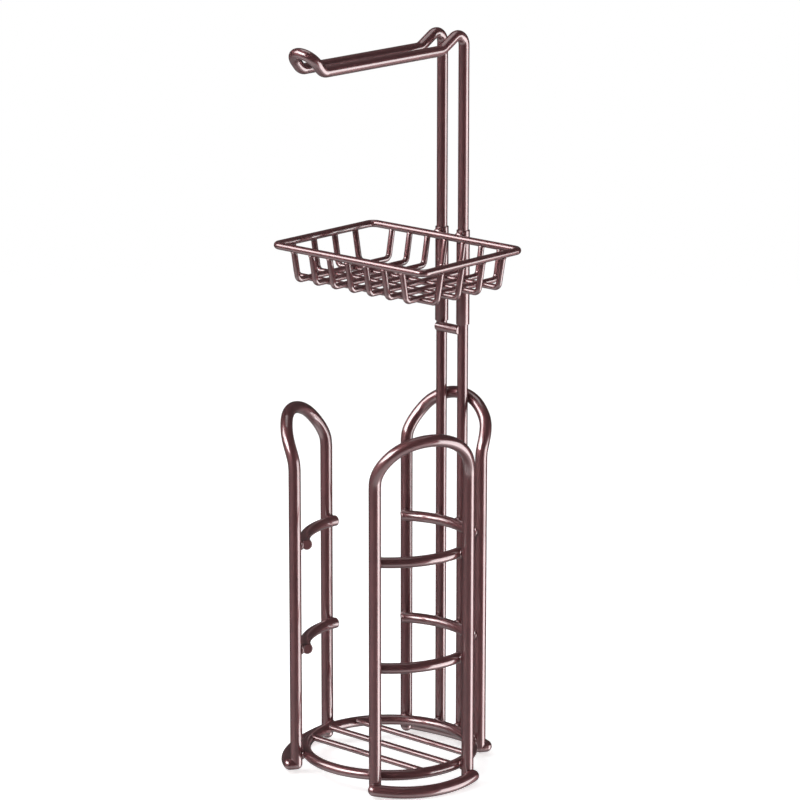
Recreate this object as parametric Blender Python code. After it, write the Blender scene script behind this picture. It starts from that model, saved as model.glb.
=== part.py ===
"""Free-standing toilet roll holder made of bronze-coloured steel tube and wire.

Three sections push together. The base is a cage of three hoops round a floor ring, with
two posts at its back. The basket hangs in front of two coupling sleeves that drop over
the posts. The mast is one bent tube: its two legs drop into the sleeves from above and
its twin arm carries the roll in use.

Metres, +Z up, origin on the floor under the middle of the whole holder. The arm points
to -Y, which is the front, and the mast stands at +Y. Pieces are drawn from the axis of
the cage, which CAGE_Y puts in its place.
"""
import bpy
import bmesh
import math
from mathutils import Matrix, Vector

# Clearances
GAP = 0.0003                 # between two pieces that touch
SLIDE_CLEARANCE = 0.0003     # round a rod inside a sleeve
OVERRUN = 0.004              # how far a cutter runs past what it cuts
WELD_DISTANCE = 0.000001     # points closer than this are one

# Hoops of the cage, with their feet and arches
CAGE_RADIUS = 0.085          # to the centre of a leg
HOOP_TUBE = 0.0108
HOOP_HALF_ANGLE = math.radians(31.35)
FRONT_HOOP_TURN = math.radians(24.8)   # how far a front hoop is turned from the side to the front
SHOULDER_HEIGHT = 0.2832     # where the legs turn into the arch
FRONT_ARCH_RISE = 0.0385
BACK_ARCH_RISE = 0.0422
FRONT_FLARE = 0.005          # how far a front arch leans out
FLARE_BELOW = 0.005          # how far below the shoulder the arch starts to lean out
FLARE_LENGTH = 0.032
FOOT_REACH = 0.006           # how far a foot stands out from its legs
FOOT_RISE = 0.0028           # how much higher a foot lies at its ends than in its middle
FOOT_FLAT = 0.0004           # depth of the flat under a foot
LINK_TUBE = 0.0105           # the short level run from a leg out to its foot

# Ring, cross bars and floor wires of the cage
RING_TUBE = 0.0094
RING_LIFT = 0.001            # free height between a foot and the ring
BAR_TUBE = 0.0096
LOWER_BAR_HEIGHT = 0.1144
UPPER_BAR_HEIGHT = 0.2104
BAR_END_REACH = 0.0025       # past the centre of a leg
FLOOR_WIRE = 0.0056
FLOOR_WIRE_LIFT = 0.0015     # above the centre of the ring
FLOOR_WIRE_PITCH = 0.030
FLOOR_WIRE_COUNT = 3

# Posts, and the bar that the sleeves stand on
POST_TUBE = 0.0096
POST_SPACING = 0.0248
POST_ENTRY = 0.040           # how far a post reaches into its sleeve
STOP_BAR = 0.0084
STOP_BAR_PAST = 0.0005       # past the centre of a post
STOP_BAR_FORWARD = 0.0055    # in front of the post centres

# Basket
RIM_WIRE = 0.0066
RIM_HEIGHT = 0.471
RIM_WIDTH = 0.173
RIM_DEPTH = 0.127
RIM_CORNER = 0.0065
BASKET_WIRE = 0.0054
BASKET_DROP = 0.0305         # from the rim to the long wires
BASKET_SINK = 0.0027         # how far crossing wires are pressed into each other
BASKET_LEAN = 0.005
BASKET_BEND = 0.0052
CROSS_WIRE_EDGE = 0.0235     # from the rim to the first wire
CROSS_WIRE_COUNT = 7
LONG_WIRE_EDGE = 0.02335
LONG_WIRE_COUNT = 4
SLEEVE_WALL = 0.0008
SLEEVE_ABOVE_RIM = 0.006
SLEEVE_LENGTH = 0.0849

# Mast and arm
MAST_TUBE = 0.0096
MAST_BEND = 0.009
ARM_FALL_ANGLE = math.radians(30)
ARM_FALL_BEND = 0.012
ARM_HEIGHT = 0.6395
ARM_DROP = 0.0107            # from the highest part of the mast down to the arm
ARM_LENGTH = 0.1795          # from the legs to where the arm turns up
TIP_ANGLE = math.radians(48.4)
TIP_BEND = 0.010
TIP_LENGTH = 0.00945         # along the turned-up tip to the start of its loop

# How finely the round shapes are drawn
HOOP_SIDES = 12
RING_SIDES = 10
BAR_SIDES = 10
POST_SIDES = 12
WIRE_SIDES = 8
SLEEVE_SIDES = 24
RING_STEPS = 48
BAR_STEPS = 9
FOOT_STEPS = 9
ARCH_STEPS = 18
ROUND_END_STEPS = 3
ROUND_END_TURN = math.radians(78)   # how far round the end of a tube is drawn
LOOP_STEPS = 14
BEND_STEP = math.radians(15)
SHARP_EDGE = math.radians(40)

# Sizes that follow from the ones above
LEG_INSIDE = CAGE_RADIUS - HOOP_TUBE / 2 - GAP
RING_RADIUS = LEG_INSIDE - RING_TUBE / 2
BAR_RADIUS = LEG_INSIDE - BAR_TUBE / 2
FOOT_RADIUS = CAGE_RADIUS + FOOT_REACH
FOOT_HEIGHT = HOOP_TUBE / 2 - FOOT_FLAT
FOOT_TOP = HOOP_TUBE - FOOT_FLAT
LEG_BOTTOM = FOOT_HEIGHT + FOOT_RISE
RING_HEIGHT = FOOT_TOP + RING_LIFT + RING_TUBE / 2
# The posts stand against the outside of the ring and bars, the back arch behind the posts
POST_RADIUS = LEG_INSIDE + GAP + POST_TUBE / 2
POST_X = POST_SPACING / 2
POST_Y = math.sqrt(POST_RADIUS ** 2 - POST_X ** 2)
BACK_FLARE = POST_RADIUS + POST_TUBE / 2 + GAP + HOOP_TUBE / 2 - CAGE_RADIUS
SLEEVE_TOP = RIM_HEIGHT + SLEEVE_ABOVE_RIM
SLEEVE_BOTTOM = SLEEVE_TOP - SLEEVE_LENGTH
SLEEVE_BORE = max(POST_TUBE, MAST_TUBE) / 2 + SLIDE_CLEARANCE
SLEEVE_RADIUS = SLEEVE_BORE + SLEEVE_WALL
POST_BOTTOM = FOOT_TOP + RING_LIFT
POST_TOP = SLEEVE_BOTTOM + POST_ENTRY
MAST_BOTTOM = POST_TOP + GAP
RIM_BACK = POST_Y - SLEEVE_RADIUS - GAP - RIM_WIRE / 2
RIM_FRONT = RIM_BACK - RIM_DEPTH
RIM_UNDERSIDE = RIM_HEIGHT - RIM_WIRE / 2 - GAP
MAST_TOP = ARM_HEIGHT + ARM_DROP     # centre of the tube at its highest
TIP_REACH = (TIP_LENGTH + POST_X) * math.cos(TIP_ANGLE)
HOLDER_FRONT = POST_Y - ARM_LENGTH - TIP_REACH - MAST_TUBE / 2
HOLDER_BACK = CAGE_RADIUS + BACK_FLARE + HOOP_TUBE / 2
CAGE_Y = -(HOLDER_FRONT + HOLDER_BACK) / 2
# For each hoop: which way it faces, the rise of its arch and how far that leans out
HOOPS = {
    "right": (-FRONT_HOOP_TURN, FRONT_ARCH_RISE, FRONT_FLARE),
    "back": (math.pi / 2, BACK_ARCH_RISE, BACK_FLARE),
    "left": (math.pi + FRONT_HOOP_TURN, FRONT_ARCH_RISE, FRONT_FLARE),
}
# Where the empty of each section stands, seen from the cage's axis
SECTION_PLACES = {
    "base": Vector((0, 0, 0)),
    "basket": Vector((0, POST_Y, SLEEVE_BOTTOM)),
    "mast": Vector((0, POST_Y, MAST_BOTTOM)),
}


def clear_scene():
    for item in list(bpy.data.objects):
        bpy.data.objects.remove(item, do_unlink=True)


def make_sections():
    """An empty for each section, on the line that it lifts off along; each carries the next"""
    carrier = None
    carrier_place = Vector((0, -CAGE_Y, 0))
    for section, spot in SECTION_PLACES.items():
        empty = bpy.data.objects.new(section + "_section", None)
        bpy.context.scene.collection.objects.link(empty)
        empty.parent = carrier
        empty.location = spot - carrier_place
        carrier = empty
        carrier_place = spot


def bronze(name):
    material = bpy.data.materials.new(name + "_bronze")
    material.use_nodes = True
    shader = material.node_tree.nodes["Principled BSDF"]
    shader.inputs["Base Color"].default_value = (0.155, 0.075, 0.078, 1)
    shader.inputs["Metallic"].default_value = 0.9
    shader.inputs["Roughness"].default_value = 0.3
    return material


def place(name, section, data):
    """A piece of a section, drawn from the cage's axis"""
    item = bpy.data.objects.new(name, data)
    bpy.context.scene.collection.objects.link(item)
    item.parent = bpy.data.objects[section + "_section"]
    item.location = -SECTION_PLACES[section]
    item.data.materials.append(bronze(name))
    return item


def around(radius, angle, height):
    return Vector((radius * math.cos(angle), radius * math.sin(angle), height))


def arc(radius, start, end, height, steps):
    return [around(radius, start + (end - start) * step / steps, height) for step in range(steps + 1)]


def rounded(corners, radii):
    """Straight runs through the corners, each inner corner replaced by an arc"""
    path = [corners[0]]
    for before, corner, after, radius in zip(corners, corners[1:], corners[2:], radii):
        ahead = (corner - before).normalized()
        onward = (after - corner).normalized()
        turn = ahead.angle(onward)
        axis = ahead.cross(onward).normalized()
        start = corner - ahead * radius * math.tan(turn / 2)
        centre = start + axis.cross(ahead) * radius
        steps = max(2, round(turn / BEND_STEP))
        for step in range(steps + 1):
            path.append(centre + Matrix.Rotation(turn * step / steps, 3, axis) @ (start - centre))
    path.append(corners[-1])
    return path


def mirrored(path):
    """The same path on the other side of the holder, run backwards"""
    return [Vector((-point.x, point.y, point.z)) for point in reversed(path)]


def tube_curve(name, path, diameter, sides, closed, shares=None):
    """A tube along a path, where shares of the diameter can narrow it at each point"""
    curve = bpy.data.curves.new(name, "CURVE")
    curve.dimensions = "3D"
    curve.bevel_depth = diameter / 2
    curve.bevel_resolution = (sides - 4) // 2
    curve.use_fill_caps = True
    spline = curve.splines.new("POLY")
    spline.points.add(len(path) - 1)
    for spot, point, share in zip(spline.points, path, shares or [1] * len(path)):
        spot.co = (*point, 1)
        spot.radius = share
    spline.use_cyclic_u = closed
    return curve


def tube(name, section, path, diameter, sides, closed=False):
    return place(name, section, tube_curve(name, path, diameter, sides, closed))


def shade(mesh):
    mesh.shade_smooth()
    mesh.set_sharp_from_angle(angle=SHARP_EDGE)


def tube_mesh(name, path, diameter, sides, closed=False, shares=None):
    """A tube as a mesh, for what is cut or cuts"""
    curve = tube_curve(name, path, diameter, sides, closed, shares)
    model = bpy.data.objects.new(name, curve)
    solid = bmesh.new()
    solid.from_mesh(model.to_mesh())
    bmesh.ops.remove_doubles(solid, verts=solid.verts, dist=WELD_DISTANCE)
    bmesh.ops.recalc_face_normals(solid, faces=solid.faces)
    mesh = bpy.data.meshes.new(name)
    solid.to_mesh(mesh)
    solid.free()
    bpy.data.objects.remove(model)
    bpy.data.curves.remove(curve)
    shade(mesh)
    return mesh


def upright_mesh(name, centre, bottom, top, radius, sides):
    """A standing cylinder"""
    solid = bmesh.new()
    middle = Matrix.Translation((centre.x, centre.y, (bottom + top) / 2))
    bmesh.ops.create_cone(solid, cap_ends=True, segments=sides, radius1=radius, radius2=radius,
                          depth=top - bottom, matrix=middle)
    mesh = bpy.data.meshes.new(name)
    solid.to_mesh(mesh)
    solid.free()
    shade(mesh)
    return mesh


def add_cutter(name, section, mesh):
    cutter = place(name, section, mesh)
    cutter.hide_render = True
    cutter.display_type = "WIRE"
    return cutter


def cut(item, cutter, operation="DIFFERENCE"):
    """Cut a piece with a hidden shape, or join that shape to it"""
    modifier = item.modifiers.new(cutter.name, "BOOLEAN")
    modifier.operation = operation
    modifier.solver = "EXACT"
    modifier.object = cutter


def lean(height, flare):
    """How far an arch leans out at a height"""
    share = (height - SHOULDER_HEIGHT + FLARE_BELOW) / FLARE_LENGTH
    share = min(max(share, 0), 1)
    return flare * share * share * (3 - 2 * share)


def arch_side(centre, rise, flare, side):
    """From the lower end of a leg up and over to the top of the arch"""
    edge = centre + side * HOOP_HALF_ANGLE
    path = [around(CAGE_RADIUS, edge, LEG_BOTTOM), around(CAGE_RADIUS, edge, SHOULDER_HEIGHT - FLARE_BELOW)]
    for step in range(ARCH_STEPS // 2 + 1):
        turn = math.pi * step / ARCH_STEPS
        height = SHOULDER_HEIGHT + rise * math.sin(turn)
        angle = centre + side * HOOP_HALF_ANGLE * math.cos(turn)
        path.append(around(CAGE_RADIUS, angle, height) + around(lean(height, flare), centre, 0))
    return path


def foot_path(centre):
    """From one end of a foot to the other: an arc that comes down to the floor in its middle"""
    path = arc(FOOT_RADIUS, centre - HOOP_HALF_ANGLE, centre + HOOP_HALF_ANGLE, LEG_BOTTOM, FOOT_STEPS)
    for step, point in enumerate(path):
        angle = HOOP_HALF_ANGLE * (2 * step / FOOT_STEPS - 1)
        point.z -= FOOT_RISE * (math.cos(angle) - math.cos(HOOP_HALF_ANGLE)) / (1 - math.cos(HOOP_HALF_ANGLE))
    return path


def hoop_tube(path):
    """A tube of the hoops with a half ball at each end"""
    before = (path[0] - path[1]).normalized() * HOOP_TUBE / 2
    after = (path[-1] - path[-2]).normalized() * HOOP_TUBE / 2
    turns = [ROUND_END_TURN * step / ROUND_END_STEPS for step in range(1, ROUND_END_STEPS + 1)]
    head = [path[0] + before * math.sin(turn) for turn in reversed(turns)]
    tail = [path[-1] + after * math.sin(turn) for turn in turns]
    narrowing = [math.cos(turn) for turn in turns]
    shares = narrowing[::-1] + [1] * len(path) + narrowing
    return tube_mesh("hoop_tube", head + path + tail, HOOP_TUBE, HOOP_SIDES, shares=shares)


def make_hoops():
    """Three hoops of tube, each joined to its foot, which is dressed flat on the floor"""
    reach = 2 * (FOOT_RADIUS + HOOP_TUBE)
    block = bmesh.new()
    size = Matrix.Diagonal((reach, reach, OVERRUN, 1))
    bmesh.ops.create_cube(block, size=1, matrix=Matrix.Translation((0, 0, -OVERRUN / 2)) @ size)
    mesh = bpy.data.meshes.new("floor_cutter")
    block.to_mesh(mesh)
    block.free()
    floor = add_cutter("floor_cutter", "base", mesh)
    for name, (centre, rise, flare) in HOOPS.items():
        arch = arch_side(centre, rise, flare, 1) + arch_side(centre, rise, flare, -1)[-2::-1]
        foot = foot_path(centre)
        hoop = place("hoop_" + name, "base", hoop_tube(arch))
        cut(hoop, add_cutter("foot_" + name, "base", hoop_tube(foot)), "UNION")
        for end, leg, corner in (("start", arch[-1], foot[0]), ("end", arch[0], foot[-1])):
            link = tube_mesh("link", [leg, corner], LINK_TUBE, HOOP_SIDES)
            cut(hoop, add_cutter(f"link_{name}_{end}", "base", link), "UNION")
        cut(hoop, floor)


def make_cross_bars():
    half = HOOP_HALF_ANGLE + BAR_END_REACH / CAGE_RADIUS
    for name, (centre, _, _) in HOOPS.items():
        for level, height in (("lower", LOWER_BAR_HEIGHT), ("upper", UPPER_BAR_HEIGHT)):
            path = arc(BAR_RADIUS, centre - half, centre + half, height, BAR_STEPS)
            tube(f"cross_bar_{name}_{level}", "base", path, BAR_TUBE, BAR_SIDES)


def make_base_ring():
    path = arc(RING_RADIUS, 0, 2 * math.pi, RING_HEIGHT, RING_STEPS)[:-1]
    tube("base_ring", "base", path, RING_TUBE, RING_SIDES, closed=True)
    return path


def make_floor_wires(ring_path):
    """Straight wires across the ring, their ends shaped to its inner side"""
    mesh = tube_mesh("ring_cutter", ring_path, RING_TUBE + 2 * GAP, RING_SIDES, closed=True)
    ring = add_cutter("ring_cutter", "base", mesh)
    height = RING_HEIGHT + FLOOR_WIRE_LIFT
    for index in range(FLOOR_WIRE_COUNT):
        y = (index - (FLOOR_WIRE_COUNT - 1) / 2) * FLOOR_WIRE_PITCH
        x = math.sqrt(RING_RADIUS ** 2 - y ** 2)
        path = [Vector((-x, y, height)), Vector((x, y, height))]
        name = f"floor_wire_{index + 1}"
        wire = place(name, "base", tube_mesh(name, path, FLOOR_WIRE, WIRE_SIDES))
        cut(wire, ring)


def make_posts():
    """Two posts, and a short bar in front of them that the sleeves stand on"""
    height = SLEEVE_BOTTOM - GAP - STOP_BAR / 2
    y = POST_Y - STOP_BAR_FORWARD
    half = POST_X + STOP_BAR_PAST
    path = [Vector((-half, y, height)), Vector((half, y, height))]
    stop = place("stop_bar", "base", tube_mesh("stop_bar", path, STOP_BAR, POST_SIDES))
    for name, side in (("left", -1), ("right", 1)):
        foot = Vector((side * POST_X, POST_Y, POST_BOTTOM))
        head = Vector((side * POST_X, POST_Y, POST_TOP))
        tube("post_" + name, "base", [foot, head], POST_TUBE, POST_SIDES)
        mesh = upright_mesh("post_cutter", foot, height - STOP_BAR, height + STOP_BAR,
                            POST_TUBE / 2 + GAP, SLEEVE_SIDES)
        cut(stop, add_cutter("post_cutter_" + name, "base", mesh))


def make_sleeves():
    """Open tubes that drop over the posts and take the mast's legs from above"""
    for name, side in (("left", -1), ("right", 1)):
        centre = Vector((side * POST_X, POST_Y, 0))
        body = upright_mesh("sleeve", centre, SLEEVE_BOTTOM, SLEEVE_TOP, SLEEVE_RADIUS, SLEEVE_SIDES)
        bore = upright_mesh("bore", centre, SLEEVE_BOTTOM - OVERRUN, SLEEVE_TOP + OVERRUN,
                            SLEEVE_BORE, SLEEVE_SIDES)
        sleeve = place("sleeve_" + name, "basket", body)
        cut(sleeve, add_cutter("bore_" + name, "basket", bore))


def make_rim():
    """A rectangle of wire with round corners, from the middle of its front side round again"""
    half = RIM_WIDTH / 2
    front = Vector((0, RIM_FRONT, RIM_HEIGHT))
    back = Vector((0, RIM_BACK, RIM_HEIGHT))
    front_corner = Vector((half, RIM_FRONT, RIM_HEIGHT))
    back_corner = Vector((half, RIM_BACK, RIM_HEIGHT))
    path = rounded([front, front_corner, back_corner, back], (RIM_CORNER, RIM_CORNER))
    tube("basket_rim", "basket", path + mirrored(path)[1:-1], RIM_WIRE, BAR_SIDES, closed=True)


def basket_path(start, end, bottom):
    """A wire that hangs from the rim at both ends and leans in to a level run"""
    inward = (end - start).normalized() * BASKET_LEAN
    down = Vector((0, 0, bottom - start.z))
    return rounded([start, start + inward + down, end - inward + down, end], (BASKET_BEND, BASKET_BEND))


def make_basket_wires():
    """Long wires run from side to side, and cross wires are pressed down on them, front to back"""
    low = RIM_HEIGHT - BASKET_DROP
    depth = RIM_DEPTH - 2 * LONG_WIRE_EDGE
    seats = []
    for index in range(LONG_WIRE_COUNT):
        y = RIM_FRONT + LONG_WIRE_EDGE + depth * index / (LONG_WIRE_COUNT - 1)
        left = Vector((-RIM_WIDTH / 2, y, RIM_UNDERSIDE))
        right = Vector((RIM_WIDTH / 2, y, RIM_UNDERSIDE))
        path = basket_path(left, right, low)
        tube(f"long_wire_{index + 1}", "basket", path, BASKET_WIRE, WIRE_SIDES)
        mesh = tube_mesh("seat", path, BASKET_WIRE + 2 * GAP, WIRE_SIDES)
        seats.append(add_cutter(f"seat_{index + 1}", "basket", mesh))
    width = RIM_WIDTH - 2 * CROSS_WIRE_EDGE
    for index in range(CROSS_WIRE_COUNT):
        x = width * (index / (CROSS_WIRE_COUNT - 1) - 1 / 2)
        front = Vector((x, RIM_FRONT, RIM_UNDERSIDE))
        back = Vector((x, RIM_BACK, RIM_UNDERSIDE))
        path = basket_path(front, back, low + BASKET_WIRE - BASKET_SINK)
        name = f"cross_wire_{index + 1}"
        wire = place(name, "basket", tube_mesh(name, path, BASKET_WIRE, WIRE_SIDES))
        for seat in seats:
            cut(wire, seat)


def make_mast():
    """One tube: up a leg, over and out along the arm, round the loop at its tip and back"""
    turn = math.pi / 2 + ARM_FALL_ANGLE
    bend_height = MAST_TOP - MAST_BEND + MAST_BEND * math.tan(turn / 2)
    fall_run = (bend_height - ARM_HEIGHT) / math.tan(ARM_FALL_ANGLE)
    end_y = POST_Y - ARM_LENGTH
    tip = Vector((0, -math.cos(TIP_ANGLE), math.sin(TIP_ANGLE)))
    loop_start = Vector((POST_X, end_y, ARM_HEIGHT)) + tip * TIP_LENGTH
    corners = [Vector((POST_X, POST_Y, MAST_BOTTOM)), Vector((POST_X, POST_Y, bend_height)),
               Vector((POST_X, POST_Y - fall_run, ARM_HEIGHT)), Vector((POST_X, end_y, ARM_HEIGHT)), loop_start]
    side = rounded(corners, (MAST_BEND, ARM_FALL_BEND, TIP_BEND))
    middle = Vector((0, loop_start.y, loop_start.z))
    loop = []
    for step in range(1, LOOP_STEPS):
        angle = math.pi * step / LOOP_STEPS
        loop.append(middle + Vector((POST_X * math.cos(angle), 0, 0)) + tip * POST_X * math.sin(angle))
    tube("mast", "mast", side + loop + mirrored(side), MAST_TUBE, POST_SIDES)


clear_scene()
make_sections()
make_hoops()
make_cross_bars()
ring_path = make_base_ring()
make_floor_wires(ring_path)
make_posts()
make_sleeves()
make_rim()
make_basket_wires()
make_mast()
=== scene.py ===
"""Looks of a free-standing toilet roll holder of bronze-coloured tube and wire.

Each tube is drawn again along its own line, finer than the frame's solid, in a lacquered
bronze. Small weld beads sit where the tubes and wires meet.
Metres, +Z up, the arm points to -Y.
"""
import math
import bmesh
import bpy
from mathutils import Matrix, Vector


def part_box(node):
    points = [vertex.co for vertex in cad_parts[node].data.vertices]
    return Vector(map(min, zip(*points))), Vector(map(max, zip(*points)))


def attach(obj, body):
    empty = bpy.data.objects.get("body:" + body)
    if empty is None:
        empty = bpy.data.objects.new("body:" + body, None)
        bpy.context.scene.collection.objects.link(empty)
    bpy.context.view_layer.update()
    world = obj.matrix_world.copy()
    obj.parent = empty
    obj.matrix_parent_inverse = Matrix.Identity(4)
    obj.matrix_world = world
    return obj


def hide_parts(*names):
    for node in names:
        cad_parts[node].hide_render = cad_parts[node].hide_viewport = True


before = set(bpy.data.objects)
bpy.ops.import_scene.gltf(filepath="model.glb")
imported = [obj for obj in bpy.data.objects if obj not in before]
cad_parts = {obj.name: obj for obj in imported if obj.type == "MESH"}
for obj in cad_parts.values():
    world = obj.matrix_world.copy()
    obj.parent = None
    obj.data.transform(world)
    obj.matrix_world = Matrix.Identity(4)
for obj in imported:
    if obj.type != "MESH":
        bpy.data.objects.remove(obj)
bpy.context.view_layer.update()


def low(node):
    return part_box(node)[0]


def high(node):
    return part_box(node)[1]


def middle(node):
    return (low(node) + high(node)) / 2


UP = Vector((0, 0, 1))
TO_RIGHT = Vector((1, 0, 0))
TO_BACK = Vector((0, 1, 0))

# Nodes of the frame, and the material slot of each body
FLOOR_WIRES = [f"floor_wire_{number}" for number in range(1, 4)]
CROSS_WIRES = [f"cross_wire_{number}" for number in range(1, 8)]
LONG_WIRES = [f"long_wire_{number}" for number in range(1, 5)]
POSTS = ["post_left", "post_right"]
SLEEVES = ["sleeve_left", "sleeve_right"]

# Diameters of the tubes and wires
HOOP_TUBE = 0.01078
RING_TUBE = 0.0094
BAR_TUBE = 0.0096
POST_TUBE = 0.0096
STOP_BAR = 0.0084
MAST_TUBE = 0.0096
FLOOR_WIRE = 0.0056
RIM_WIRE = 0.0066
BASKET_WIRE = 0.0054

# Cage
AXIS = Vector((0, middle("base_ring").y, 0))
LEG_INSIDE = high("base_ring").x          # the ring and bars touch the legs here
TOUCH_GAP = 0.0003
CAGE_RADIUS = LEG_INSIDE + TOUCH_GAP + HOOP_TUBE / 2
RING_RADIUS = LEG_INSIDE - RING_TUBE / 2
BAR_RADIUS = LEG_INSIDE - BAR_TUBE / 2
RING_HEIGHT = middle("base_ring").z
HOOP_HALF_ANGLE = math.radians(31.35)
FRONT_HOOP_TURN = math.radians(24.8)
SHOULDER_HEIGHT = 0.2832
FLARE_BELOW = 0.005                       # an arch begins to lean out this far below its shoulder
FLARE_LENGTH = 0.032
FRONT_FLARE = 0.005
BACK_FLARE = high("hoop_back").y - HOOP_TUBE / 2 - CAGE_RADIUS - AXIS.y
FOOT_REACH = 0.006                        # how far a foot lies outside the legs
FOOT_RADIUS = CAGE_RADIUS + FOOT_REACH
FOOT_HEIGHT = 0.005
FOOT_RISE = 0.0028                        # how much higher a foot lies at its ends than in its middle
LEG_BOTTOM = FOOT_HEIGHT + FOOT_RISE
BAR_END_REACH = 0.0025
HOOPS = {
    "right": (-FRONT_HOOP_TURN, FRONT_FLARE),
    "back": (math.pi / 2, BACK_FLARE),
    "left": (math.pi + FRONT_HOOP_TURN, FRONT_FLARE),
}
BARS = {name: [f"cross_bar_{name}_lower", f"cross_bar_{name}_upper"] for name in HOOPS}
POST_X = middle("post_right").x
POST_Y = middle("post_right").y

# Basket
RIM_LOW = low("basket_rim") + Vector((RIM_WIRE, RIM_WIRE, 0)) / 2
RIM_HIGH = high("basket_rim") - Vector((RIM_WIRE, RIM_WIRE, 0)) / 2
RIM_HEIGHT = middle("basket_rim").z
RIM_CORNER = 0.0065
BASKET_LEAN = 0.005
BASKET_BEND = 0.0052
LONG_WIRE_LIFT = 0.0005
CROSSING_STEP = 0.0016                    # crossed wires are pressed into each other
LONG_WIRE_LOW = low("long_wire_1").z + BASKET_WIRE / 2 + LONG_WIRE_LIFT
CROSS_WIRE_LOW = LONG_WIRE_LOW + CROSSING_STEP
WIRE_TOP = RIM_HEIGHT - RIM_WIRE / 3      # the wires end inside the rim

# Sleeves
SLEEVE_RADIUS = (high("sleeve_right").x - low("sleeve_right").x) / 2
SLEEVE_WALL = 0.0008
LIP_EASE = 0.0003

# Mast and arm
MAST_TOP = 0.6502
MAST_BEND = 0.009
ARM_FALL_ANGLE = math.radians(30)
ARM_FALL_BEND = 0.012
ARM_HEIGHT = 0.6395
ARM_LENGTH = 0.1795
TIP_ANGLE = math.radians(48.4)
TIP_BEND = 0.010
TIP_LENGTH = 0.0093

# Weld beads: half sizes along the joint, across it and from tube to tube
BEAD = (0.0048, 0.0048, 0.0021)
SMALL_BEAD = (0.0030, 0.0030, 0.0014)
BEAD_UNEVENNESS = 0.0005
BEAD_LUMP_SCALE = 620.0
BEAD_LUMP_DETAIL = 2.0

# How finely things are drawn
TUBE_SIDES = 40
WIRE_SIDES = 28
BEND_STEP = math.radians(4)
BEND_STEPS_LEAST = 3
ARC_STEP = math.radians(1.5)
ARC_STEPS_LEAST = 2
ARCH_STEPS = 72
LOOP_STEPS = 48
END_EASE = 0.0010                         # rounding of a cut end
END_STEP = 0.0004                         # along a rounded end
END_STEPS_LEAST = 5
LIP_STEPS = 4
SLEEVE_STEPS = 64
MERGE_WITHIN = 0.000001
BEAD_SEGMENTS = 24
BEAD_RINGS = 12
OUTLINE_RADIUS = 0.5                      # one wide, so that it is scaled by the tube's width
NOISE_MIDDLE = (0.5, 0.5, 0.5)


# Lines that the tubes follow

def out(radius, angle):
    return Vector((radius * math.cos(angle), radius * math.sin(angle), 0))


def arc(radius, start, end, height):
    steps = max(ARC_STEPS_LEAST, round(abs(end - start) / ARC_STEP))
    turns = [start + (end - start) * step / steps for step in range(steps + 1)]
    return [AXIS + out(radius, turn) + Vector((0, 0, height)) for turn in turns]


def rounded(corners, radii):
    """Straight runs through the corners, each inner corner replaced by an arc"""
    path = [corners[0]]
    for before, corner, after, radius in zip(corners, corners[1:], corners[2:], radii):
        ahead = (corner - before).normalized()
        onward = (after - corner).normalized()
        turn = ahead.angle(onward)
        axis = ahead.cross(onward).normalized()
        start = corner - ahead * radius * math.tan(turn / 2)
        centre = start + axis.cross(ahead) * radius
        steps = max(BEND_STEPS_LEAST, round(turn / BEND_STEP))
        for step in range(steps + 1):
            path.append(centre + Matrix.Rotation(turn * step / steps, 3, axis) @ (start - centre))
    path.append(corners[-1])
    return path


def mirrored(path):
    """A line on the other side of the holder, run the other way"""
    return [Vector((-point.x, point.y, point.z)) for point in reversed(path)]


def cut_ends(paths):
    """Lines whose tubes end in a cut with an eased edge"""
    return [(path, END_EASE) for path in paths]


def domed(path):
    """A line whose tube of the hoops ends in a half ball at each end"""
    reach = HOOP_TUBE / 2
    first = path[0] + (path[0] - path[1]).normalized() * reach
    last = path[-1] + (path[-1] - path[-2]).normalized() * reach
    return [first] + path[1:-1] + [last], reach


def lean(height, flare):
    """How far an arch leans out at a height"""
    share = min(max((height - SHOULDER_HEIGHT + FLARE_BELOW) / FLARE_LENGTH, 0), 1)
    return flare * share * share * (3 - 2 * share)


def arch_side(centre, rise, flare, side):
    """From the lower end of a leg up and over to the top of the arch"""
    leg = AXIS + out(CAGE_RADIUS, centre + side * HOOP_HALF_ANGLE)
    path = [leg + UP * LEG_BOTTOM, leg + UP * (SHOULDER_HEIGHT - FLARE_BELOW)]
    for step in range(ARCH_STEPS // 2 + 1):
        turn = math.pi * step / ARCH_STEPS
        height = SHOULDER_HEIGHT + rise * math.sin(turn)
        angle = centre + side * HOOP_HALF_ANGLE * math.cos(turn)
        path.append(AXIS + out(CAGE_RADIUS, angle) + out(lean(height, flare), centre) + UP * height)
    return path


def foot_path(centre):
    """An arc that comes down to the floor in its middle"""
    path = arc(FOOT_RADIUS, centre - HOOP_HALF_ANGLE, centre + HOOP_HALF_ANGLE, LEG_BOTTOM)
    end_cosine = math.cos(HOOP_HALF_ANGLE)
    for step, point in enumerate(path):
        angle = HOOP_HALF_ANGLE * (2 * step / (len(path) - 1) - 1)
        point.z -= FOOT_RISE * (math.cos(angle) - end_cosine) / (1 - end_cosine)
    return path


def hoop_lines(name):
    """The arch with its two legs, the foot, and the short runs that join them"""
    centre, flare = HOOPS[name]
    rise = high("hoop_" + name).z - HOOP_TUBE / 2 - SHOULDER_HEIGHT
    arch = arch_side(centre, rise, flare, 1) + arch_side(centre, rise, flare, -1)[-2::-1]
    foot = foot_path(centre)
    return [domed(arch), domed(foot)] + cut_ends([[arch[-1], foot[0]], [arch[0], foot[-1]]])


def bar_paths():
    half = HOOP_HALF_ANGLE + BAR_END_REACH / CAGE_RADIUS
    paths = []
    for name, (centre, _) in HOOPS.items():
        for bar in BARS[name]:
            paths.append(arc(BAR_RADIUS, centre - half, centre + half, middle(bar).z))
    return paths


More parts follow.
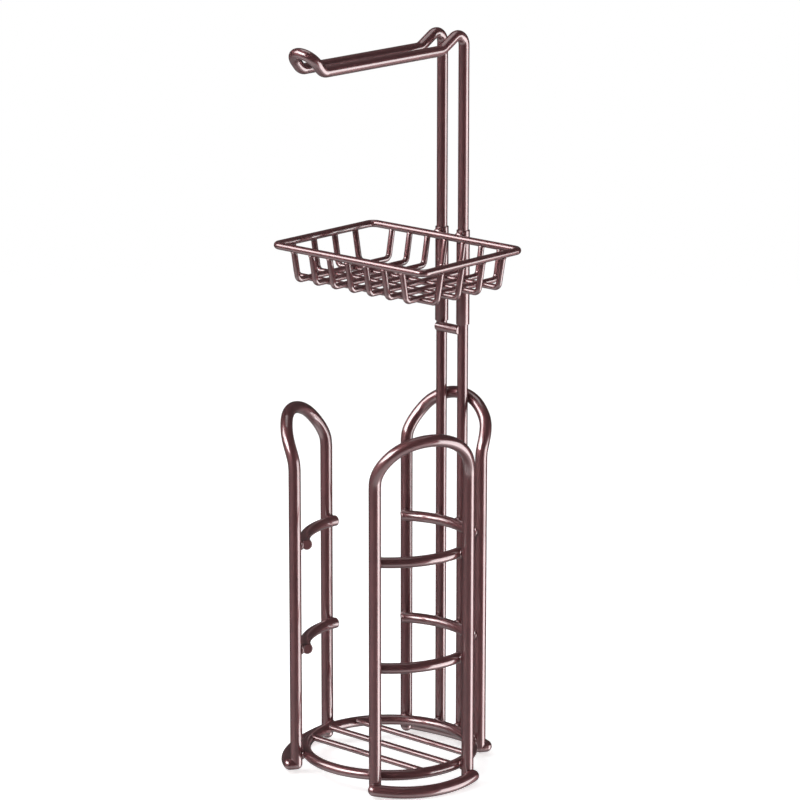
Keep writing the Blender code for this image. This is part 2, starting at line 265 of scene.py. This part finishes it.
def level_path(node, reach):
    """From side to side, through a node's middle"""
    at = middle(node)
    return [Vector((-reach, at.y, at.z)), Vector((reach, at.y, at.z))]


def floor_wire_paths():
    return [level_path(name, high(name).x + TOUCH_GAP) for name in FLOOR_WIRES]


def post_paths():
    paths = []
    for name in POSTS:
        at = middle(name)
        paths.append([Vector((at.x, at.y, low(name).z)), Vector((at.x, at.y, high(name).z))])
    return paths


def rim_path():
    front = Vector((0, RIM_LOW.y, RIM_HEIGHT))
    front_corner = Vector((RIM_HIGH.x, RIM_LOW.y, RIM_HEIGHT))
    back_corner = Vector((RIM_HIGH.x, RIM_HIGH.y, RIM_HEIGHT))
    back = Vector((0, RIM_HIGH.y, RIM_HEIGHT))
    path = rounded([front, front_corner, back_corner, back], (RIM_CORNER, RIM_CORNER))
    return path + mirrored(path)[1:-1]


def basket_wire(start, end, bottom):
    """A wire that hangs from the rim at both ends and leans in to a level run"""
    inward = (end - start).normalized() * BASKET_LEAN
    down = Vector((0, 0, bottom - start.z))
    corners = [start, start + inward + down, end - inward + down, end]
    return rounded(corners, (BASKET_BEND, BASKET_BEND))


def cross_wire_paths():
    paths = []
    for name in CROSS_WIRES:
        x = middle(name).x
        front = Vector((x, RIM_LOW.y, WIRE_TOP))
        back = Vector((x, RIM_HIGH.y, WIRE_TOP))
        paths.append(basket_wire(front, back, CROSS_WIRE_LOW))
    return paths


def long_wire_paths():
    paths = []
    for name in LONG_WIRES:
        y = middle(name).y
        left = Vector((RIM_LOW.x, y, WIRE_TOP))
        right = Vector((RIM_HIGH.x, y, WIRE_TOP))
        paths.append(basket_wire(left, right, LONG_WIRE_LOW))
    return paths


def mast_path():
    """Up a leg, over and out along the arm, round the loop at its tip and back"""
    turn = math.pi / 2 + ARM_FALL_ANGLE
    bend_height = MAST_TOP - MAST_BEND + MAST_BEND * math.tan(turn / 2)
    fall_run = (bend_height - ARM_HEIGHT) / math.tan(ARM_FALL_ANGLE)
    end_y = POST_Y - ARM_LENGTH
    tip = Vector((0, -math.cos(TIP_ANGLE), math.sin(TIP_ANGLE)))
    loop_start = Vector((POST_X, end_y, ARM_HEIGHT)) + tip * TIP_LENGTH
    corners = [
        Vector((POST_X, POST_Y, low("mast").z)),
        Vector((POST_X, POST_Y, bend_height)),
        Vector((POST_X, POST_Y - fall_run, ARM_HEIGHT)),
        Vector((POST_X, end_y, ARM_HEIGHT)),
        loop_start,
    ]
    side = rounded(corners, (MAST_BEND, ARM_FALL_BEND, TIP_BEND))
    centre = Vector((0, loop_start.y, loop_start.z))
    loop = []
    for step in range(1, LOOP_STEPS):
        angle = math.pi * step / LOOP_STEPS
        loop.append(centre + Vector((POST_X * math.cos(angle), 0, 0)) + tip * POST_X * math.sin(angle))
    return side + loop + mirrored(side)


# Node trees

class Reading:
    """A number that varies over a surface, for use in plain expressions"""

    def __init__(self, owner, socket):
        self.owner = owner
        self.socket = socket

    def __add__(self, other):
        return self.owner.math("ADD", self, other)

    def __sub__(self, other):
        return self.owner.math("SUBTRACT", self, other)

    def __rsub__(self, other):
        return self.owner.math("SUBTRACT", other, self)

    def __mul__(self, other):
        return self.owner.math("MULTIPLY", self, other)

    __radd__ = __add__
    __rmul__ = __mul__


class Tree:
    """A node tree that is written as plain calls"""

    def __init__(self, tree):
        self.tree = tree

    def node(self, kind, settings=None, inputs=None):
        """A node of a kind, with its settings made before its sockets are filled"""
        made = self.tree.nodes.new(kind)
        for name, value in (settings or {}).items():
            setattr(made, name, value)
        for name, value in (inputs or {}).items():
            source = value.socket if isinstance(value, Reading) else value
            if isinstance(source, bpy.types.NodeSocket):
                self.tree.links.new(source, made.inputs[name])
            else:
                made.inputs[name].default_value = source
        return made

    def reading(self, kind, output, settings=None, inputs=None):
        """An output of a new node, for use in expressions"""
        return Reading(self, self.node(kind, settings, inputs).outputs[output])

    def math(self, operation, first, second):
        return self.reading("ShaderNodeMath", 0, {"operation": operation}, {0: first, 1: second})


# Finishes

BRONZE = (0.140, 0.045, 0.049, 1)
BRONZE_WARM = (0.162, 0.054, 0.058, 1)
BRONZE_DARK = (0.098, 0.031, 0.034, 1)
METAL_SHARE = 0.5
LACQUER_ROUGHNESS = 0.025
LACQUER_IOR = 1.8

# Marks: the scale, detail and roughness of their noise, and where in it they start and are full
CLOUDS = (34, 3, 0.5, 0.35, 0.68)
STAINS = (110, 4, 0.6, 0.56, 0.74)
SMEARS = (18, 5, 0.62, 0.42, 0.72)
STAIN_ROUGHENING = 0.05
SMEAR_ROUGHENING = 0.07
SMEAR_LACQUER_LOSS = 0.12
RIPPLES = (260, 2, 0.5)
RIPPLE_DEPTH = 0.0002


class Recipe(Tree):
    """The node tree of one finish"""

    def __init__(self, tree):
        super().__init__(tree)
        tree.nodes.clear()

    def noise(self, place, scale, detail, roughness):
        return self.reading("ShaderNodeTexNoise", 0, None,
                            {"Vector": place, "Scale": scale, "Detail": detail, "Roughness": roughness})

    def ramp(self, value, low_end, high_end):
        """0 below the low end, 1 above the high end and smooth between"""
        return self.reading("ShaderNodeMapRange", 0, {"interpolation_type": "SMOOTHSTEP"},
                            {"Value": value, "From Min": low_end, "From Max": high_end})

    def marks(self, place, scale, detail, roughness, start, full):
        return self.ramp(self.noise(place, scale, detail, roughness), start, full)

    def blend(self, factor, first, second):
        """A mix of two colours, whose sockets come after those for numbers and vectors"""
        mixed = self.node("ShaderNodeMix", {"data_type": "RGBA"}, {0: factor, 6: first, 7: second})
        return mixed.outputs[2]


def lacquered_bronze(name, roughness, peel, darkening):
    """Bronze colour under a clear lacquer, a little uneven, with faint ripples and handling marks"""
    material = bpy.data.materials.new(name)
    material.use_nodes = True
    recipe = Recipe(material.node_tree)
    place = recipe.node("ShaderNodeTexCoord").outputs["Object"]
    clouds = recipe.marks(place, *CLOUDS)
    stains = recipe.marks(place, *STAINS)
    smears = recipe.marks(place, *SMEARS)
    ripples = recipe.noise(place, *RIPPLES)
    colour = recipe.blend(clouds, BRONZE, BRONZE_WARM)
    colour = recipe.blend(stains * darkening, colour, BRONZE_DARK)
    bump = recipe.node("ShaderNodeBump", None,
                       {"Strength": peel, "Distance": RIPPLE_DEPTH, "Height": ripples})
    shader = recipe.node("ShaderNodeBsdfPrincipled", None, {
        "Base Color": colour,
        "Metallic": METAL_SHARE,
        "Roughness": smears * SMEAR_ROUGHENING + stains * STAIN_ROUGHENING + roughness,
        "Coat Weight": 1 - smears * SMEAR_LACQUER_LOSS,
        "Coat Roughness": LACQUER_ROUGHNESS,
        "Coat IOR": LACQUER_IOR,
        "Normal": bump.outputs[0],
    })
    shader.inputs["Coat Weight"].default_value = 1                # the plain value under the link
    recipe.node("ShaderNodeOutputMaterial", None, {"Surface": shader.outputs[0]})
    return material


TUBE_FINISH = lacquered_bronze("lacquered_tube", roughness=0.45, peel=0.02, darkening=0.35)
WIRE_FINISH = lacquered_bronze("lacquered_wire", roughness=0.45, peel=0.015, darkening=0.45)
WELD_FINISH = lacquered_bronze("lacquered_weld", roughness=0.50, peel=0.45, darkening=0.8)


# Growing tubes and welds with geometry nodes

def placed(name, data):
    """A new object in the scene"""
    item = bpy.data.objects.new(name, data)
    bpy.context.scene.collection.objects.link(item)
    return item


class Grower(Tree):
    """A geometry node tree with named inputs, ending in one finished mesh"""

    def __init__(self, name, sizes, counts=()):
        super().__init__(bpy.data.node_groups.new(name, "GeometryNodeTree"))
        face = self.tree.interface
        face.new_socket("Lines", in_out="INPUT", socket_type="NodeSocketGeometry")
        for title in sizes:
            face.new_socket(title, in_out="INPUT", socket_type="NodeSocketFloat")
        for title in counts:
            face.new_socket(title, in_out="INPUT", socket_type="NodeSocketInt")
        face.new_socket("Finish", in_out="INPUT", socket_type="NodeSocketMaterial")
        face.new_socket("Mesh", in_out="OUTPUT", socket_type="NodeSocketGeometry")
        self.given = self.node("NodeGroupInput").outputs

    def finish(self, geometry):
        smooth = self.node("GeometryNodeSetShadeSmooth", None, {"Geometry": geometry})
        real = self.node("GeometryNodeRealizeInstances", None, {"Geometry": smooth.outputs[0]})
        painted = self.node("GeometryNodeSetMaterial", None,
                            {"Geometry": real.outputs[0], "Material": self.given["Finish"]})
        self.node("NodeGroupOutput", None, {"Mesh": painted.outputs[0]})

    def grow(self, name, mesh, **values):
        """The mesh that the tree makes of some lines, as an object of its own"""
        model = placed(name + "_lines", mesh)
        modifier = model.modifiers.new("grow", "NODES")
        modifier.node_group = self.tree
        for item in self.tree.interface.items_tree:
            if item.in_out == "INPUT" and item.name in values:
                modifier[item.identifier] = values[item.name]
        view = bpy.context.evaluated_depsgraph_get()
        grown = bpy.data.meshes.new_from_object(model.evaluated_get(view))
        bpy.data.objects.remove(model)
        grown.name = name
        return placed(name, grown)


def tube_grower():
    """A round tube along each line, pressed flat where it would reach below the floor"""
    grower = Grower("tubes_along_lines", ["Diameter"], ["Sides"])
    given = grower.given
    share = grower.node("GeometryNodeInputNamedAttribute", {"data_type": "FLOAT"}, {"Name": "share"})
    width = grower.math("MULTIPLY", given["Diameter"], share.outputs[0])
    line = grower.node("GeometryNodeMeshToCurve", None, {"Mesh": given["Lines"]})
    outline = grower.node("GeometryNodeCurvePrimitiveCircle", None,
                          {"Resolution": given["Sides"], "Radius": OUTLINE_RADIUS})
    tube = grower.node("GeometryNodeCurveToMesh", None,
                       {"Curve": line.outputs[0], "Profile Curve": outline.outputs[0],
                        "Scale": width, "Fill Caps": True})
    place = grower.node("GeometryNodeInputPosition")
    x, y, z = grower.node("ShaderNodeSeparateXYZ", None, {0: place.outputs[0]}).outputs
    height = grower.math("MAXIMUM", z, 0.0)
    flat = grower.node("ShaderNodeCombineXYZ", None, {0: x, 1: y, 2: height})
    pressed = grower.node("GeometryNodeSetPosition", None,
                          {"Geometry": tube.outputs[0], "Position": flat.outputs[0]})
    grower.finish(pressed.outputs[0])
    return grower


def weld_grower():
    """An uneven bead at each point, turned to lie between the two tubes that meet there"""
    grower = Grower("beads_at_joints", ["Unevenness"])
    given = grower.given
    kind = {"data_type": "FLOAT_VECTOR"}
    turn = grower.node("GeometryNodeInputNamedAttribute", kind, {"Name": "turn"})
    size = grower.node("GeometryNodeInputNamedAttribute", kind, {"Name": "size"})
    ball = grower.node("GeometryNodeMeshUVSphere", None,
                       {"Segments": BEAD_SEGMENTS, "Rings": BEAD_RINGS, "Radius": 1.0})
    rotation = grower.node("FunctionNodeEulerToRotation", None, {0: turn.outputs[0]})
    beads = grower.node("GeometryNodeInstanceOnPoints", None,
                        {"Points": given["Lines"], "Instance": ball.outputs[0],
                         "Rotation": rotation.outputs[0], "Scale": size.outputs[0]})
    real = grower.node("GeometryNodeRealizeInstances", None, {"Geometry": beads.outputs[0]})
    lumps = grower.node("ShaderNodeTexNoise", {"noise_dimensions": "3D"},
                        {"Scale": BEAD_LUMP_SCALE, "Detail": BEAD_LUMP_DETAIL})
    swing = grower.node("ShaderNodeVectorMath", {"operation": "SUBTRACT"},
                        {0: lumps.outputs["Color"], 1: NOISE_MIDDLE})
    push = grower.node("ShaderNodeVectorMath", {"operation": "SCALE"},
                       {0: swing.outputs[0], "Scale": given["Unevenness"]})
    uneven = grower.node("GeometryNodeSetPosition", None,
                         {"Geometry": real.outputs[0], "Offset": push.outputs[0]})
    grower.finish(uneven.outputs[0])
    return grower


TUBES = tube_grower()
WELDS = weld_grower()


def dress(piece, body, nodes):
    """Rides a piece on its body, in place of the nodes that it stands for"""
    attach(piece, body)
    if nodes:
        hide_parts(*nodes)


# Tubes and wires

def eased(path, ease):
    """A line with extra points at both ends, and how much narrower the tube is at each point"""
    steps = max(END_STEPS_LEAST, round(ease / END_STEP))
    turns = [math.pi / 2 * step / steps for step in range(steps + 1)]
    ends = []
    for at, onward in ((path[0], path[1]), (path[-1], path[-2])):
        ahead = (onward - at).normalized() * ease
        ends.append([(at + ahead * (1 - math.cos(turn)), 2 * ease * (1 - math.sin(turn)))
                     for turn in turns])
    return ends[0] + [(point, 0) for point in path[1:-1]] + ends[1][::-1]


def line_mesh(lines, diameter):
    """Edges along the lines, with each point's share of the tube's width

    A line with no ease is closed.
    """
    points = []
    edges = []
    shares = []
    for path, ease in lines:
        spots = eased(path, ease) if ease else [(point, 0) for point in path]
        first = len(points)
        points += [point for point, _ in spots]
        shares += [1 - trim / diameter for _, trim in spots]
        edges += [(first + index, first + index + 1) for index in range(len(spots) - 1)]
        if not ease:
            edges.append((len(points) - 1, first))
    mesh = bpy.data.meshes.new("lines")
    mesh.from_pydata(points, edges, [])
    mesh.attributes.new("share", "FLOAT", "POINT").data.foreach_set("value", shares)
    return mesh


def tubes(name, body, nodes, lines, diameter, sides, finish):
    mesh = line_mesh(lines, diameter)
    piece = TUBES.grow(name, mesh, Diameter=diameter, Sides=sides, Finish=finish)
    dress(piece, body, nodes)


# Sleeves

def sleeve_outline(bottom, top):
    """The wall's outline as distances from the axis and heights, with its lips eased"""
    inner = SLEEVE_RADIUS - SLEEVE_WALL
    corners = [
        (inner, bottom, 1, 1),
        (inner, top, 1, -1),
        (SLEEVE_RADIUS, top, -1, -1),
        (SLEEVE_RADIUS, bottom, -1, 1),
    ]
    outline = []
    for radius, height, inward, upward in corners:
        bend = []
        for step in range(LIP_STEPS + 1):
            turn = math.pi / 2 * step / LIP_STEPS
            bend.append(Vector((radius + inward * LIP_EASE * (1 - math.cos(turn)), 0,
                                height + upward * LIP_EASE * (1 - math.sin(turn)))))
        outline += bend[::-1] if inward * upward > 0 else bend
    return outline


def turned(outline, centre):
    """A closed outline swept round an upright axis"""
    solid = bmesh.new()
    spots = [solid.verts.new(point) for point in outline]
    edges = [solid.edges.new((spot, spots[index - 1])) for index, spot in enumerate(spots)]
    bmesh.ops.spin(solid, geom=edges, cent=(0, 0, 0), axis=(0, 0, 1), angle=2 * math.pi,
                   steps=SLEEVE_STEPS, use_merge=True)
    bmesh.ops.remove_doubles(solid, verts=solid.verts, dist=MERGE_WITHIN)
    bmesh.ops.recalc_face_normals(solid, faces=solid.faces)
    bmesh.ops.translate(solid, verts=solid.verts, vec=centre)
    return solid


def make_sleeves():
    joined = bpy.data.meshes.new("sleeves")
    both = bmesh.new()
    for name in SLEEVES:
        at = middle(name)
        one = turned(sleeve_outline(low(name).z, high(name).z), Vector((at.x, at.y, 0)))
        part = bpy.data.meshes.new(name)
        one.to_mesh(part)
        one.free()
        both.from_mesh(part)
        bpy.data.meshes.remove(part)
    both.to_mesh(joined)
    both.free()
    joined.shade_smooth()
    joined.materials.append(TUBE_FINISH)
    dress(placed("sleeves", joined), "basket", SLEEVES)


# Weld beads

def bead(at, normal, along, size):
    """A joint's place, its turn from its two directions, and its size"""
    side = normal.cross(along).normalized()
    turn = Matrix((along.normalized(), side, normal.normalized())).transposed().to_euler()
    return at, turn, size


def cage_beads():
    beads = []
    heights = {name: [RING_HEIGHT] + [middle(bar).z for bar in BARS[name]] for name in HOOPS}
    for name, (centre, _) in HOOPS.items():
        for side in (-1, 1):
            angle = centre + side * HOOP_HALF_ANGLE
            for height in heights[name]:
                at = AXIS + out(LEG_INSIDE + TOUCH_GAP / 2, angle) + UP * height
                beads.append(bead(at, out(1, angle), UP, BEAD))
    stop = middle("stop_bar")
    for side in (-1, 1):
        touch = Vector((side * POST_X, POST_Y, 0)) - AXIS
        angle = math.atan2(touch.y, touch.x)
        for height in heights["back"]:
            at = AXIS + out(LEG_INSIDE, angle) + UP * height
            beads.append(bead(at, out(1, angle), UP, BEAD))
        forward = Vector((side * POST_X, (stop.y + POST_Y) / 2, stop.z))
        beads.append(bead(forward, TO_BACK, UP, SMALL_BEAD))
    for name in FLOOR_WIRES:
        at = middle(name)
        for side in (-1, 1):
            end = Vector((side * high(name).x, at.y, at.z))
            beads.append(bead(end, (end - AXIS - UP * at.z).normalized(), UP, SMALL_BEAD))
    return beads


def basket_beads():
    beads = []
    under = RIM_HEIGHT - RIM_WIRE / 2
    crossing = (LONG_WIRE_LOW + CROSS_WIRE_LOW) / 2
    for name in CROSS_WIRES:
        x = middle(name).x
        for y in (RIM_LOW.y, RIM_HIGH.y):
            beads.append(bead(Vector((x, y, under)), UP, TO_RIGHT, SMALL_BEAD))
        for other in LONG_WIRES:
            beads.append(bead(Vector((x, middle(other).y, crossing)), UP, TO_RIGHT, SMALL_BEAD))
    for name in LONG_WIRES:
        y = middle(name).y
        for x in (RIM_LOW.x, RIM_HIGH.x):
            beads.append(bead(Vector((x, y, under)), UP, TO_RIGHT, SMALL_BEAD))
    for name in SLEEVES:
        touch_y = (low(name).y + RIM_HIGH.y + RIM_WIRE / 2) / 2
        beads.append(bead(Vector((middle(name).x, touch_y, RIM_HEIGHT)), TO_BACK, UP, BEAD))
    return beads


def welds(name, body, beads):
    mesh = bpy.data.meshes.new(name)
    mesh.from_pydata([at for at, _, _ in beads], [], [])
    turns = mesh.attributes.new("turn", "FLOAT_VECTOR", "POINT")
    sizes = mesh.attributes.new("size", "FLOAT_VECTOR", "POINT")
    turns.data.foreach_set("vector", [part for _, turn, _ in beads for part in turn])
    sizes.data.foreach_set("vector", [part for _, _, size in beads for part in size])
    piece = WELDS.grow(name, mesh, Unevenness=BEAD_UNEVENNESS, Finish=WELD_FINISH)
    dress(piece, body, [])


# The holder

def make_holder():
    for name in HOOPS:
        tubes(name + "_hoop", "base", ["hoop_" + name], hoop_lines(name),
              HOOP_TUBE, TUBE_SIDES, TUBE_FINISH)
    ring = arc(RING_RADIUS, 0, 2 * math.pi, RING_HEIGHT)[:-1]
    tubes("floor_ring", "base", ["base_ring"], [(ring, None)],
          RING_TUBE, TUBE_SIDES, TUBE_FINISH)
    bars = [bar for name in HOOPS for bar in BARS[name]]
    tubes("cross_bars", "base", bars, cut_ends(bar_paths()),
          BAR_TUBE, TUBE_SIDES, TUBE_FINISH)
    tubes("floor_wires", "base", FLOOR_WIRES, cut_ends(floor_wire_paths()),
          FLOOR_WIRE, WIRE_SIDES, WIRE_FINISH)
    tubes("posts", "base", POSTS, cut_ends(post_paths()),
          POST_TUBE, TUBE_SIDES, TUBE_FINISH)
    stop_path = level_path("stop_bar", high("stop_bar").x)
    tubes("sleeve_stop", "base", ["stop_bar"], cut_ends([stop_path]),
          STOP_BAR, TUBE_SIDES, TUBE_FINISH)
    tubes("rim", "basket", ["basket_rim"], [(rim_path(), None)],
          RIM_WIRE, TUBE_SIDES, WIRE_FINISH)
    tubes("cross_wires", "basket", CROSS_WIRES, cut_ends(cross_wire_paths()),
          BASKET_WIRE, WIRE_SIDES, WIRE_FINISH)
    tubes("long_wires", "basket", LONG_WIRES, cut_ends(long_wire_paths()),
          BASKET_WIRE, WIRE_SIDES, WIRE_FINISH)
    make_sleeves()
    tubes("mast_and_arm", "mast", ["mast"], cut_ends([mast_path()]),
          MAST_TUBE, TUBE_SIDES, TUBE_FINISH)
    welds("cage_welds", "base", cage_beads())
    welds("basket_welds", "basket", basket_beads())


# Camera

CAMERA_PLACE = Vector((2.230624, -2.466481, 1.192015)) + AXIS
CAMERA_TARGET = Vector((0.000975, 0.000881, 0.336495)) + AXIS
PICTURE_WIDTH = 800
FOCAL_PIXELS = 3927
MIDDLE_COLUMN = 390.514                   # of the picture, where the camera's axis meets it
SENSOR = 36
CAMERA_REACH = 20


def make_camera():
    data = bpy.data.cameras.new("camera")
    data.sensor_width = SENSOR
    data.lens = FOCAL_PIXELS * SENSOR / PICTURE_WIDTH
    data.shift_x = (PICTURE_WIDTH / 2 - MIDDLE_COLUMN) / PICTURE_WIDTH
    data.clip_end = CAMERA_REACH
    camera = placed("camera", data)
    camera.location = CAMERA_PLACE
    camera.rotation_euler = (CAMERA_TARGET - CAMERA_PLACE).to_track_quat("-Z", "Y").to_euler()
    bpy.context.scene.camera = camera


# Floor

FLOOR_REACH = 3
FLOOR_SEGMENTS = 96
FLOOR_FADE = (0.5, 2.2)                   # distances between which the floor fades into the white
FLOOR_COLOUR = (0.93, 0.93, 0.93, 1)
FLOOR_ROUGHNESS = 0.8
FLOOR_GLOW = 0.62                         # what the camera sees on top of the light that falls there
WHITE = (1, 1, 1, 1)


def make_floor():
    """A pale floor that the metal doesn't mirror, because the world shows it one"""
    mesh = bpy.data.meshes.new("floor")
    solid = bmesh.new()
    bmesh.ops.create_circle(solid, cap_ends=True, radius=FLOOR_REACH, segments=FLOOR_SEGMENTS)
    solid.to_mesh(mesh)
    solid.free()
    material = bpy.data.materials.new("pale_floor")
    material.use_nodes = True
    recipe = Recipe(material.node_tree)
    place = recipe.node("ShaderNodeTexCoord").outputs["Object"]
    distance = recipe.reading("ShaderNodeVectorMath", "Value", {"operation": "LENGTH"}, {0: place})
    fade = recipe.ramp(distance, *FLOOR_FADE)
    seen = recipe.reading("ShaderNodeLightPath", "Is Camera Ray")
    surface = recipe.node("ShaderNodeBsdfPrincipled", None,
                          {"Base Color": FLOOR_COLOUR, "Roughness": FLOOR_ROUGHNESS})
    shine = recipe.node("ShaderNodeEmission", None, {"Color": WHITE, "Strength": seen * FLOOR_GLOW})
    lit = recipe.node("ShaderNodeAddShader", None, {0: surface.outputs[0], 1: shine.outputs[0]})
    clear = recipe.node("ShaderNodeBsdfTransparent")
    mixed = recipe.node("ShaderNodeMixShader", None,
                        {0: fade, 1: lit.outputs[0], 2: clear.outputs[0]})
    recipe.node("ShaderNodeOutputMaterial", None, {"Surface": mixed.outputs[0]})
    mesh.materials.append(material)
    floor = placed("floor", mesh)
    floor.visible_glossy = False


# Room that the metal shows

# A sector is where a light starts and ends and how soft its sides are, in degrees round from the
# front, with 90 on the right. A pair of heights is where an edge starts and ends, with -1 straight
# below and 1 straight above.
ROOM_LEVEL = 0.42                         # lights the holder from all round
ROOM_SHOWN = 0.06
FLOOR_TOP = (-0.65, -0.28)
UNDER_SHOWN = 0.27                        # the floor all round and under the holder
FLOOR_SECTOR = (-70, 150, 15)
FLOOR_BOTTOM = (-0.99, -0.86)
FLOOR_SHOWN = 0.85                        # the brighter floor in front
STRIP_SECTOR = (97, 141, 3)
STRIP_BOTTOM = (-0.80, -0.55)
STRIP_TOP = (0.02, 0.20)
STRIP_SHOWN = 6.2                         # a tall light on the right
CARD_SECTOR = (-62, 14, 14)
CARD_TOP = (0.0, 0.4)
CARD_SHOWN = 0.2                          # a faint card in front
BOX_SECTOR = (-62, 8, 8)
BOX_FRONT_SECTOR = (-32, 8, 8)
BOX_FRONT_SHARE = 0.9
BOX_BOTTOM = (0.20, 0.30)
BOX_TOP = (0.62, 0.74)
BOX_SHOWN = 7.5                           # a large soft box on the left, brighter towards the front


def make_world():
    """White where the camera looks, while the metal shows a dim room with its lights"""
    world = bpy.data.worlds.new("studio")
    bpy.context.scene.world = world
    world.use_nodes = True
    recipe = Recipe(world.node_tree)
    look = recipe.node("ShaderNodeTexCoord").outputs["Generated"]
    parts = recipe.node("ShaderNodeSeparateXYZ", None, {"Vector": look}).outputs
    right, back, up = (Reading(recipe, part) for part in parts)
    turn = recipe.math("ARCTAN2", right, back * -1)

    def sector(start, end, soft):
        opening = recipe.ramp(turn, math.radians(start - soft), math.radians(start + soft))
        return opening * (1 - recipe.ramp(turn, math.radians(end - soft), math.radians(end + soft)))

    def above(heights):
        return recipe.ramp(up, *heights)

    floor_in_front = sector(*FLOOR_SECTOR) * above(FLOOR_BOTTOM) * FLOOR_SHOWN
    floor = (1 - above(FLOOR_TOP)) * (floor_in_front + UNDER_SHOWN)
    strip = sector(*STRIP_SECTOR) * (above(STRIP_BOTTOM) * (1 - above(STRIP_TOP)))
    card = sector(*CARD_SECTOR) * (1 - above(CARD_TOP))
    box_width = sector(*BOX_SECTOR) + sector(*BOX_FRONT_SECTOR) * BOX_FRONT_SHARE
    box = box_width * (above(BOX_BOTTOM) * (1 - above(BOX_TOP)))
    shown = floor + ROOM_SHOWN + strip * STRIP_SHOWN + card * CARD_SHOWN + box * BOX_SHOWN
    rays = recipe.node("ShaderNodeLightPath").outputs
    seen = Reading(recipe, rays["Is Camera Ray"]) + Reading(recipe, rays["Is Transmission Ray"])
    glossy = Reading(recipe, rays["Is Glossy Ray"])
    strength = seen * (1 - ROOM_LEVEL) + glossy * (shown - ROOM_LEVEL) + ROOM_LEVEL
    surface = recipe.node("ShaderNodeBackground", None, {"Color": WHITE, "Strength": strength})
    recipe.node("ShaderNodeOutputWorld", None, {"Surface": surface.outputs[0]})


# Lamps

LAMP_AIM = Vector((0, 0, 0.33)) + AXIS


def lamp(name, azimuth, elevation, distance, width, height, level):
    """A soft box that faces the holder. Its level is how bright its face is, with white at 1."""
    data = bpy.data.lights.new(name, "AREA")
    data.shape = "RECTANGLE"
    data.size = width
    data.size_y = height
    data.energy = level * width * height * math.pi
    item = placed(name, data)
    turn = math.radians(azimuth)
    rise = math.radians(elevation)
    side = math.sin(turn) * math.cos(rise)
    away = Vector((side, -math.cos(turn) * math.cos(rise), math.sin(rise)))
    item.location = LAMP_AIM + away * distance
    item.rotation_euler = (-away).to_track_quat("-Z", "Y").to_euler()
    return item


def make_lamps():
    box_left = lamp("box_left", azimuth=-45, elevation=45, distance=1.6,
                    width=0.6, height=1.1, level=4.6)
    box_left.visible_glossy = False       # the metal shows the box of the world in its place
    lamp("box_top", azimuth=222, elevation=78, distance=1.6, width=0.9, height=0.9, level=1.6)


make_camera()
make_floor()
make_world()
make_lamps()
make_holder()
bpy.context.scene.view_settings.view_transform = "Standard"
